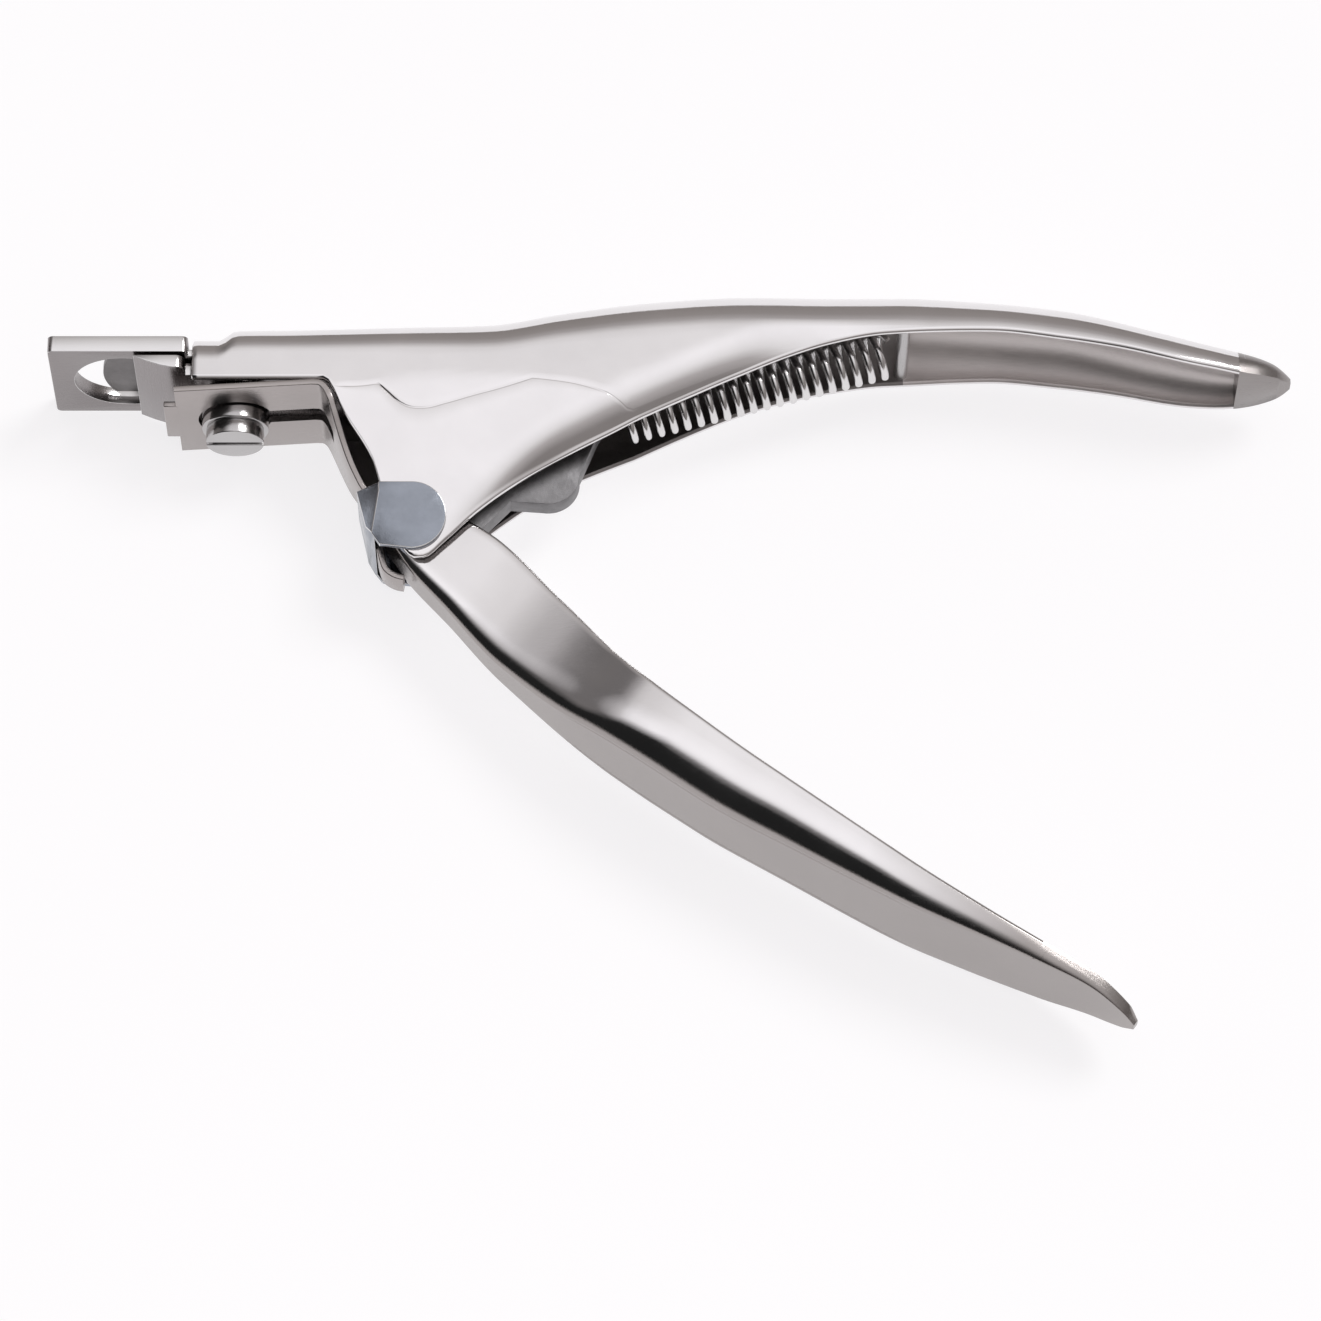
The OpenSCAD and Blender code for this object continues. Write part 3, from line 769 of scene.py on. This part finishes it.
def strap_section(point, way, half):
    """A rounded oblong across the strap's path, thickness to the outer side."""
    out = Vector((way.y, -way.x))
    r = STRAP_CORNER
    corners = [
        (r, half - r, 180, 90), (STRAP_SHEET - r, half - r, 90, 0),
        (STRAP_SHEET - r, -half + r, 0, -90), (r, -half + r, -90, -180),
    ]
    ring = []
    for across, z, a0, a1 in corners:
        for i in range(4):
            a = math.radians(a0 + (a1 - a0) * i / 3)
            p = point + out * (across + r * math.cos(a))
            ring.append(at(p.x, p.y, z + r * math.sin(a)))
    return ring


def cutter(name, low, high, outline):
    """A prism between two heights, from an outline of (x, z) points."""
    n = len(outline)
    points = [at(x, low, z) for x, z in outline] + [at(x, high, z) for x, z in outline]
    faces = [tuple(range(n)), tuple(range(2 * n - 1, n - 1, -1))]
    faces += [(i, i + n, (i + 1) % n + n, (i + 1) % n) for i in range(n)]
    mesh = bpy.data.meshes.new(name)
    mesh.from_pydata([tuple(p) for p in points], [], faces)
    tidy(mesh)
    piece = bpy.data.objects.new(name, mesh)
    bpy.context.scene.collection.objects.link(piece)
    return piece


def cut(piece, tool):
    """Takes the tool's shape out of a piece and removes the tool."""
    boolean = piece.modifiers.new("cut", "BOOLEAN")
    boolean.operation = "DIFFERENCE"
    boolean.solver = "EXACT"
    boolean.object = tool
    applied(piece)
    bpy.data.objects.remove(tool)


def make_strap():
    """The strap, with the screw's opening and slit cut in it, and the flat tab at its front end."""
    start, bend = Vector(STRAP_PATH[0]), Vector(STRAP_PATH[1])
    straight = [start.lerp(bend, i / STRAIGHT_STEPS) for i in range(STRAIGHT_STEPS)]
    path = straight + smooth_path(STRAP_PATH[1:], PATH_STEPS)
    rings = []
    for i, p in enumerate(path):
        way = (path[min(i + 1, len(path) - 1)] - path[max(i - 1, 0)]).normalized()
        middle = p + Vector((way.y, -way.x)) * STRAP_SHEET / 2
        half = along(STRAP_HALF, middle.y) * HALF_W / NOMINAL_HALF_W
        rings.append(strap_section(p, way, half))
    piece = new_object("strap_bend", loft("strap_bend", rings), None)
    r = OPENING_D / 2
    half_gap = math.asin(SLIT_W / 2 / r)
    steps = 48
    outline = [
        (SCREW_X + r * math.cos(a), r * math.sin(a))
        for a in [half_gap + (2 * math.pi - 2 * half_gap) * i / steps for i in range(steps + 1)]
    ]
    outline += [(SLIT_END, -SLIT_W / 2), (SLIT_END, SLIT_W / 2)]
    cut(piece, cutter("strap_opening", *CUT_HEIGHTS, outline))
    smoothed(piece.data)
    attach(piece, "root")
    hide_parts("strap")
    # The strap and its tab get the darker steel, which is painted shade
    dress(piece, STRAP_SHADE_STEEL)

    tab_mesh = bpy.data.meshes.new("strap_tab")
    bm = bmesh.new()
    bmesh.ops.create_cube(bm, size=1)
    for v in bm.verts:
        v.co = at(
            TAB_X + TAB_LENGTH * v.co.x,
            TAB_TOP - STRAP_SHEET / 2 + (STRAP_SHEET - 0.02) * v.co.y,
            TAB_W * v.co.z,
        )
    bm.to_mesh(tab_mesh)
    bm.free()
    tab = new_object("strap_tab", tab_mesh, None)
    bevelled(tab, STRAP_CORNER)
    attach(tab, "root")
    dress(tab, STRAP_SHADE_STEEL)


# ---------- Spring ----------

SPRING_D = 5.6
WIRE_D = 0.85
TURNS = 20
TURN_STEPS = 36
WIRE_SIDES = 12
COIL_START = 3.9
COIL_END = 1.9


def make_spring():
    """The coil, with a short lead of wire at each end that runs towards its pin."""
    way = Vector((ANCHOR_PIN[0] - HOOK_PIN[0], ANCHOR_PIN[1] - HOOK_PIN[1]))
    length = way.length
    way.normalize()
    r = (SPRING_D - WIRE_D) / 2
    coil_len = length - COIL_START - COIL_END
    line = []
    for k in range(TURNS * TURN_STEPS + 1):
        turn = k / TURN_STEPS
        a = 2 * math.pi * turn
        line.append(Vector((COIL_START + coil_len * turn / TURNS, r * math.cos(a), r * math.sin(a))))
    start = [(1.95, 0.02 * r, 0), (2.4, 0.12 * r, 0), (2.9, 0.36 * r, 0), (3.45, 0.75 * r, -0.1 * r)]
    end = [(length - 1.6, 0.85 * r, 0.12 * r), (length - 1.35, 0.55 * r, 0.1 * r)]
    line = [Vector(p) for p in start] + line + [Vector(p) for p in end]

    rings = []
    for i, p in enumerate(line):
        w = (line[min(i + 1, len(line) - 1)] - line[max(i - 1, 0)]).normalized()
        side = w.cross(Vector((1, 0, 0.3))).normalized()
        up = side.cross(w)
        ring = []
        for j in range(WIRE_SIDES):
            a = 2 * math.pi * j / WIRE_SIDES
            q = p + WIRE_D / 2 * (math.cos(a) * side + math.sin(a) * up)
            x = HOOK_PIN[0] + q.x * way.x - q.y * way.y
            y = HOOK_PIN[1] + q.x * way.y + q.y * way.x
            ring.append(at(x, y, q.z))
        rings.append(ring)
    piece = new_object("spring_wire", loft("spring_wire", rings), None, 60)
    # The bend ends short of the rear pin, so that the coils stay under the handle's crown
    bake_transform(piece)
    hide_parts("return_spring")
    dress(piece, SPRING_STEEL)


# ---------- The pieces ----------

make_handle()
make_lever()
make_strap()
make_spring()

ROUNDED = [
    ("ring_plate", "ring_guide", 0.18, [PLATE_STEEL, EDGE_HIGHLIGHT_STEEL]),
    ("nail_stop", "stop_tongue", 0.1, [STOP_STEEL]),
    ("saddle_clip", "pivot_clip", 0.16, [CLIP_STEEL, EDGE_HIGHLIGHT_STEEL]),
    ("retaining_screw", "screw_head", 0.12, [SCREW_STEEL]),
    ("screw_collar", "screw_base", 0.14, [SCREW_STEEL]),
    ("blade", "cutting_blade", 0.05, [BLADE_STEEL, EDGE_HIGHLIGHT_STEEL]),
    ("blade_slider", "slider_block", 0.12, [SLIDER_STEEL]),
    ("drive_arm", "arm_casting", 0.3, [ARM_STEEL]),
]
for node, name, width, materials in ROUNDED:
    rounded_copy(node, name, width, materials, painted_light_sides=node in ("ring_plate", "blade"))

# The pins, rivets and washers keep their CAD meshes
for node in (
    "head_rivets", "pivot_pin", "pivot_washers", "spring_anchor_pin", "blade_rivets", "arm_rivet",
    "drive_pin", "spring_hook_pin",
):
    dress(frame["nodes"][node], PIN_STEEL)

# ---------- Floor, light and camera ----------


def make_floor():
    """White paper, which glows so that it stays white."""
    mesh = bpy.data.meshes.new("floor")
    size = 3
    mesh.from_pydata(
        [(-size, -size, 0), (size, -size, 0), (size, size, 0), (-size, size, 0)], [], [(0, 1, 2, 3)]
    )
    floor = bpy.data.objects.new("floor", mesh)
    floor.location.z = -0.0001
    bpy.context.scene.collection.objects.link(floor)
    n = Nodes("floor_paper")
    cloud = n.noise(4, detail=2)
    colour = n.ramp(cloud, [(0.3, (0.24, 0.24, 0.24)), (0.7, (0.26, 0.26, 0.26))])
    shader = n.tree.nodes.new("ShaderNodeBsdfPrincipled")
    shader.inputs["Emission Color"].default_value = (1, 0.985, 1, 1)
    shader.inputs["Emission Strength"].default_value = 0.8
    shader.inputs["Roughness"].default_value = 0.9
    shader.inputs["Specular IOR Level"].default_value = 0.1
    n.link(colour, shader.inputs["Base Color"])
    output = n.tree.nodes.new("ShaderNodeOutputMaterial")
    n.link(shader.outputs["BSDF"], output.inputs["Surface"])
    mesh.materials.append(n.material)


def make_world():
    """A pale room: white overhead, brownish grey low down, and dark towards the front left."""
    world = bpy.data.worlds.new("studio")
    bpy.context.scene.world = world
    world.use_nodes = True
    tree = world.node_tree
    tree.nodes.clear()
    coords = tree.nodes.new("ShaderNodeTexCoord")
    parts = tree.nodes.new("ShaderNodeSeparateXYZ")
    tree.links.new(coords.outputs["Generated"], parts.inputs["Vector"])

    def mixed(axis, low, high, a, b):
        """Colour a below low on the axis and colour b above high."""
        place = tree.nodes.new("ShaderNodeMapRange")
        place.inputs["From Min"].default_value = low
        place.inputs["From Max"].default_value = high
        tree.links.new(parts.outputs[axis], place.inputs["Value"])
        mix = tree.nodes.new("ShaderNodeMix")
        mix.data_type = "RGBA"
        tree.links.new(place.outputs["Result"], mix.inputs["Factor"])
        tree.links.new(a, mix.inputs["A"])
        tree.links.new(b, mix.inputs["B"])
        return mix.outputs["Result"]

    height = parts.outputs["Z"]
    front_left = colour_ramp(tree, height, [
        (0.0, (0.2, 0.18, 0.17)), (0.1, (0.015, 0.015, 0.015)), (0.9, (0.015, 0.015, 0.015)),
        (0.95, (0.2, 0.19, 0.19)), (0.98, (1, 0.98, 0.99)), (1.0, (1.08, 1.06, 1.08)),
    ])
    front_right = colour_ramp(tree, height, [
        (0.0, (0.25, 0.23, 0.22)), (0.45, (0.26, 0.24, 0.235)), (0.68, (0.5, 0.475, 0.47)),
        (0.85, (0.88, 0.86, 0.865)), (1.0, (1.08, 1.06, 1.08)),
    ])
    back_left = colour_ramp(tree, height, [
        (0.0, (0.27, 0.245, 0.235)), (0.4, (0.2, 0.185, 0.18)), (0.72, (0.16, 0.15, 0.15)),
        (0.85, (0.6, 0.58, 0.585)), (0.93, (1.08, 1.06, 1.08)), (1.0, (1.08, 1.06, 1.08)),
    ])
    back_right = colour_ramp(tree, height, [
        (0.0, (0.27, 0.245, 0.235)), (0.5, (0.32, 0.295, 0.285)), (0.7, (0.44, 0.415, 0.41)),
        (0.82, (0.74, 0.715, 0.715)), (0.92, (0.95, 0.93, 0.94)), (1.0, (1.08, 1.06, 1.08)),
    ])
    front = mixed("X", -0.25, 0.05, front_left, front_right)
    back = mixed("X", -0.32, -0.12, back_left, back_right)
    room = mixed("Y", -0.08, 0.12, front, back)
    background = tree.nodes.new("ShaderNodeBackground")
    tree.links.new(room, background.inputs["Color"])
    output = tree.nodes.new("ShaderNodeOutputWorld")
    tree.links.new(background.outputs["Background"], output.inputs["Surface"])


def make_sun(strength, towards, spread):
    """A soft key light from the direction given, which also gives the faint contact shadow."""
    light = bpy.data.lights.new("key", "SUN")
    light.energy = strength
    light.angle = math.radians(spread)
    lamp = bpy.data.objects.new("key", light)
    lamp.rotation_euler = Vector(towards).to_track_quat("Z", "Y").to_euler()
    bpy.context.scene.collection.objects.link(lamp)


def make_camera():
    """A long lens that looks down at the tool from its lever's side."""
    target = DATUM + Vector((25.99, -13.71, -0.18)) * MM
    distance = 0.72
    elevation = math.radians(66)
    camera = bpy.data.cameras.new("camera")
    camera.sensor_width = 36
    camera.lens = 189
    camera.clip_start = 0.01
    rig = bpy.data.objects.new("camera", camera)
    rig.location = target + distance * Vector((0, -math.cos(elevation), math.sin(elevation)))
    rig.rotation_euler = (target - rig.location).to_track_quat("-Z", "Y").to_euler()
    bpy.context.scene.collection.objects.link(rig)
    bpy.context.scene.camera = rig


make_floor()
make_world()
make_sun(1.2, (0.5, 0.35, 0.8), 24)
make_camera()
bpy.context.scene.view_settings.view_transform = "Standard"
